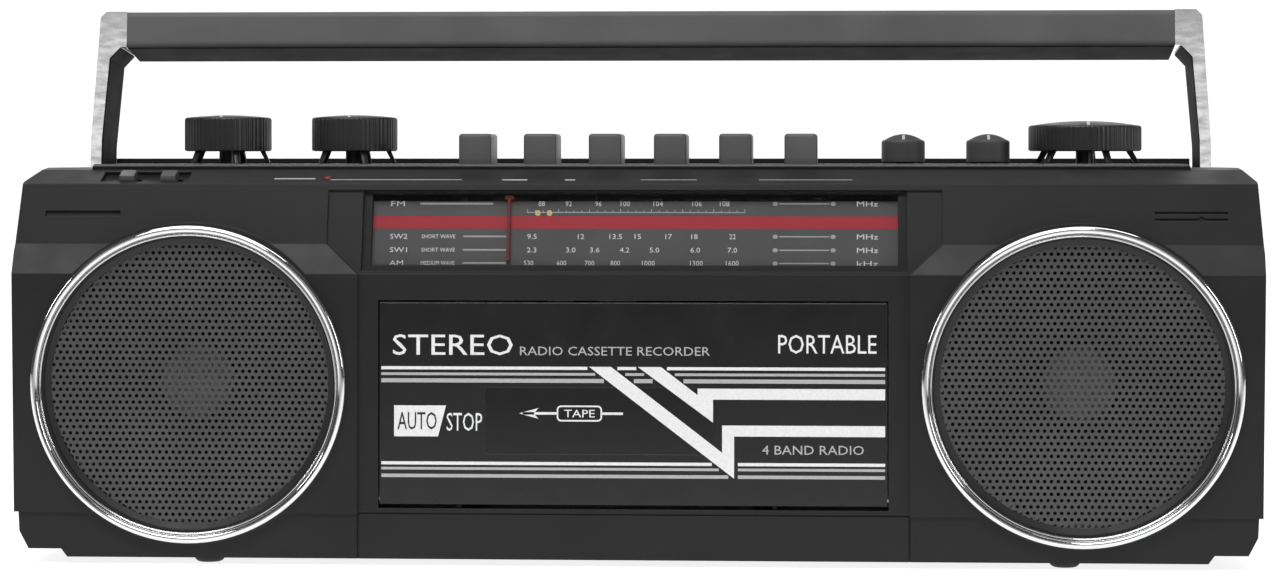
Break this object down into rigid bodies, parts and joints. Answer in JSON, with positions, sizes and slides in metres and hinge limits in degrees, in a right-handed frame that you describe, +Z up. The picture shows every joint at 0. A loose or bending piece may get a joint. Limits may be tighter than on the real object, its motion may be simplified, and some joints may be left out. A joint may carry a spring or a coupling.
{
  "type": "radio cassette recorder",
  "caption": "portable radio cassette recorder with two round speakers behind chrome rings, piano keys, turning knobs, a dial, a tape door and a folding handle",
  "frame": {"origin": "on the floor under the middle of the object's box", "axes": "+Z up, the front with the speakers faces -Y, +X to the right as seen from the front"},
  "size_m": [0.4, 0.118, 0.1807],
  "materials": {
    "board": "phenolic with components",
    "brass": "machined",
    "case": "fine-grained black",
    "chrome": "polished",
    "clear_lens": "clear",
    "cone_paper": "black pulp",
    "cord": "braided",
    "dial_print": "printed dark grey",
    "door_black": "satin black",
    "dust_cap": "grey",
    "ferrite": "sintered",
    "gloss_black": "glossy black",
    "grille": "perforated, painted black",
    "grip": "satin dark grey",
    "key_black": "satin dark grey",
    "knob_black": "satin black",
    "nylon": "natural",
    "nylon_dark": "black",
    "pointer_red": "red",
    "rubber": "matt",
    "smoked_lens": "smoked",
    "steel": "plain",
    "switch_grey": "satin grey"
  },
  "bodies": {
    "handle": {"handle_grip": "grip", "handle_arm_left": "chrome", "handle_arm_right": "chrome"},
    "door": {"cassette_door": "door_black", "cassette_window": "smoked_lens", "cassette_holder": "nylon_dark"},
    "record_lever": {"record_key": "key_black"},
    "play_lever": {"play_key": "key_black"},
    "rewind_lever": {"rewind_key": "key_black"},
    "forward_lever": {"forward_key": "key_black"},
    "stop_lever": {"stop_key": "key_black"},
    "pause_lever": {"pause_key": "key_black"},
    "head_carrier": {"head_bridge": "steel", "tape_heads": "chrome"},
    "pinch_roller": {"pinch_roller": "rubber"},
    "volume_knob": {"volume_knob": "knob_black"},
    "tone_knob": {"tone_knob": "knob_black"},
    "function_knob": {"function_knob": "knob_black"},
    "band_knob": {"band_knob": "knob_black"},
    "tuning_knob": {"tuning_knob": "knob_black", "tuning_drum": "nylon"},
    "pointer": {"dial_pointer": "pointer_red"},
    "mode_switch": {"mode_switch": "switch_grey"},
    "noise_switch": {"noise_switch": "switch_grey"},
    "supply_spindle": {"supply_spindle": "nylon"},
    "takeup_spindle": {"takeup_spindle": "nylon"},
    "flywheel": {"capstan_flywheel": "brass"},
    "motor_rotor": {"motor_pulley": "brass"},
    "battery_cover": {"battery_door": "case"},
    "aerial_swivel": {"aerial_base": "nylon_dark"},
    "aerial_arm": {"aerial_knuckle": "chrome"},
    "aerial_section_2": {"aerial_tube_2": "chrome"},
    "aerial_section_3": {"aerial_tube_3": "chrome"},
    "aerial_section_4": {"aerial_tube_4": "chrome"},
    "case": {"case_screws": "steel", "control_bodies": "nylon_dark", "cord_pulleys": "nylon", "deck_chassis": "steel", "dial_cord": "cord", "dial_scale_plate": "dial_print", "dial_window": "clear_lens", "door_hinge_pins": "steel", "drive_belt": "rubber", "dust_caps": "dust_cap", "front_case": "case", "handle_pivots": "chrome", "key_shaft": "steel", "main_board": "board", "mains_inlet": "nylon_dark", "motor": "steel", "rear_case": "case", "rubber_feet": "rubber", "speaker_baskets": "steel", "speaker_cones": "cone_paper", "speaker_grille_left": "grille", "speaker_grille_right": "grille", "speaker_magnets": "ferrite", "speaker_ring_left": "chrome", "speaker_ring_right": "chrome", "top_deck_panel": "gloss_black"}
  },
  "joints": [
    {"name": "handle_fold", "type": "hinge", "parent": "case", "child": "handle", "pos_m": [0, 0.0305, 0.1235], "axis": [1, 0, 0], "range_deg": [-84, 9]},
    {"name": "door_open", "type": "hinge", "parent": "case", "child": "door", "pos_m": [0, -0.0528, 0.0213], "axis": [1, 0, 0], "range_deg": [0, 35]},
    {"name": "record_press", "type": "hinge", "parent": "case", "child": "record_lever", "pos_m": [-0.05325, 0.008, 0.116], "axis": [1, 0, 0], "range_deg": [0, 7], "stiffness_Nm_per_rad": 0.35, "springref_deg": -6.88},
    {"name": "play_press", "type": "hinge", "parent": "case", "child": "play_lever", "pos_m": [-0.03195, 0.008, 0.116], "axis": [1, 0, 0], "range_deg": [0, 7], "stiffness_Nm_per_rad": 0.35, "springref_deg": -6.88},
    {"name": "rewind_press", "type": "hinge", "parent": "case", "child": "rewind_lever", "pos_m": [-0.01065, 0.008, 0.116], "axis": [1, 0, 0], "range_deg": [0, 7], "stiffness_Nm_per_rad": 0.35, "springref_deg": -6.88},
    {"name": "forward_press", "type": "hinge", "parent": "case", "child": "forward_lever", "pos_m": [0.01065, 0.008, 0.116], "axis": [1, 0, 0], "range_deg": [0, 7], "stiffness_Nm_per_rad": 0.35, "springref_deg": -6.88},
    {"name": "stop_press", "type": "hinge", "parent": "case", "child": "stop_lever", "pos_m": [0.03195, 0.008, 0.116], "axis": [1, 0, 0], "range_deg": [0, 7], "stiffness_Nm_per_rad": 0.35, "springref_deg": -6.88},
    {"name": "pause_press", "type": "hinge", "parent": "case", "child": "pause_lever", "pos_m": [0.05325, 0.008, 0.116], "axis": [1, 0, 0], "range_deg": [0, 7], "stiffness_Nm_per_rad": 0.35, "springref_deg": -6.88},
    {"name": "bridge_travel", "type": "slide", "parent": "case", "child": "head_carrier", "axis": [0, 0, -1], "range_m": [0, 0.0046]},
    {"name": "pinch_roller_spin", "type": "hinge", "parent": "head_carrier", "child": "pinch_roller", "pos_m": [0.0204, -0.042, 0.08185], "axis": [0, 1, 0], "continuous": true},
    {"name": "volume_turn", "type": "hinge", "parent": "case", "child": "volume_knob", "pos_m": [-0.139, -0.003, 0.135], "axis": [0, 0, 1], "range_deg": [-150, 150]},
    {"name": "tone_turn", "type": "hinge", "parent": "case", "child": "tone_knob", "pos_m": [-0.0963, -0.003, 0.135], "axis": [0, 0, 1], "range_deg": [-150, 150]},
    {"name": "function_turn", "type": "hinge", "parent": "case", "child": "function_knob", "pos_m": [0.0869, -0.003, 0.135], "axis": [0, 0, 1], "range_deg": [-45, 45]},
    {"name": "band_turn", "type": "hinge", "parent": "case", "child": "band_knob", "pos_m": [0.1149, -0.003, 0.135], "axis": [0, 0, 1], "range_deg": [-45, 45]},
    {"name": "tuning_turn", "type": "hinge", "parent": "case", "child": "tuning_knob", "pos_m": [0.1468, -0.003, 0.135], "axis": [0, 0, 1], "range_deg": [-171, 536]},
    {"name": "pointer_travel", "type": "slide", "parent": "case", "child": "pointer", "axis": [1, 0, 0], "range_m": [-0.0375, 0.1165]},
    {"name": "mode_switch_slide", "type": "slide", "parent": "case", "child": "mode_switch", "axis": [1, 0, 0], "range_m": [0, 0.003]},
    {"name": "noise_switch_slide", "type": "slide", "parent": "case", "child": "noise_switch", "axis": [1, 0, 0], "range_m": [0, 0.003]},
    {"name": "supply_spindle_spin", "type": "hinge", "parent": "case", "child": "supply_spindle", "pos_m": [-0.02645, -0.037, 0.0465], "axis": [0, 1, 0], "continuous": true},
    {"name": "takeup_spindle_spin", "type": "hinge", "parent": "case", "child": "takeup_spindle", "pos_m": [0.01605, -0.037, 0.0465], "axis": [0, 1, 0], "continuous": true},
    {"name": "flywheel_spin", "type": "hinge", "parent": "case", "child": "flywheel", "pos_m": [0.0204, -0.031, 0.0698], "axis": [0, 1, 0], "continuous": true},
    {"name": "motor_spin", "type": "hinge", "parent": "case", "child": "motor_rotor", "pos_m": [-0.045, -0.031, 0.062], "axis": [0, 1, 0], "continuous": true},
    {"name": "battery_cover_open", "type": "hinge", "parent": "case", "child": "battery_cover", "pos_m": [-0.066, 0.058, 0.0105], "axis": [-1, 0, 0], "range_deg": [0, 70]},
    {"name": "aerial_turn", "type": "hinge", "parent": "case", "child": "aerial_swivel", "pos_m": [0.171, 0.0534, 0.12], "axis": [0, 0, -1], "range_deg": [0, 120]},
    {"name": "aerial_tilt", "type": "hinge", "parent": "aerial_swivel", "child": "aerial_arm", "pos_m": [0.171, 0.0534, 0.1246], "axis": [0, 1, 0], "range_deg": [0, 90]},
    {"name": "aerial_slide_2", "type": "slide", "parent": "aerial_arm", "child": "aerial_section_2", "axis": [-1, 0, 0], "range_m": [0, 0.148]},
    {"name": "aerial_slide_3", "type": "slide", "parent": "aerial_section_2", "child": "aerial_section_3", "axis": [-1, 0, 0], "range_m": [0, 0.148]},
    {"name": "aerial_slide_4", "type": "slide", "parent": "aerial_section_3", "child": "aerial_section_4", "axis": [-1, 0, 0], "range_m": [0, 0.148]}
  ],
  "couplings": [
    {"joint": "pointer_travel", "follows": "tuning_turn", "m_per_rad": 0.0124},
    {"joint": "bridge_travel", "follows": "play_press", "m_per_rad": 0.036833},
    {"joint": "motor_spin", "follows": "flywheel_spin", "ratio": 4.5},
    {"joint": "aerial_slide_3", "follows": "aerial_slide_2", "ratio": 1},
    {"joint": "aerial_slide_4", "follows": "aerial_slide_2", "ratio": 1}
  ]
}
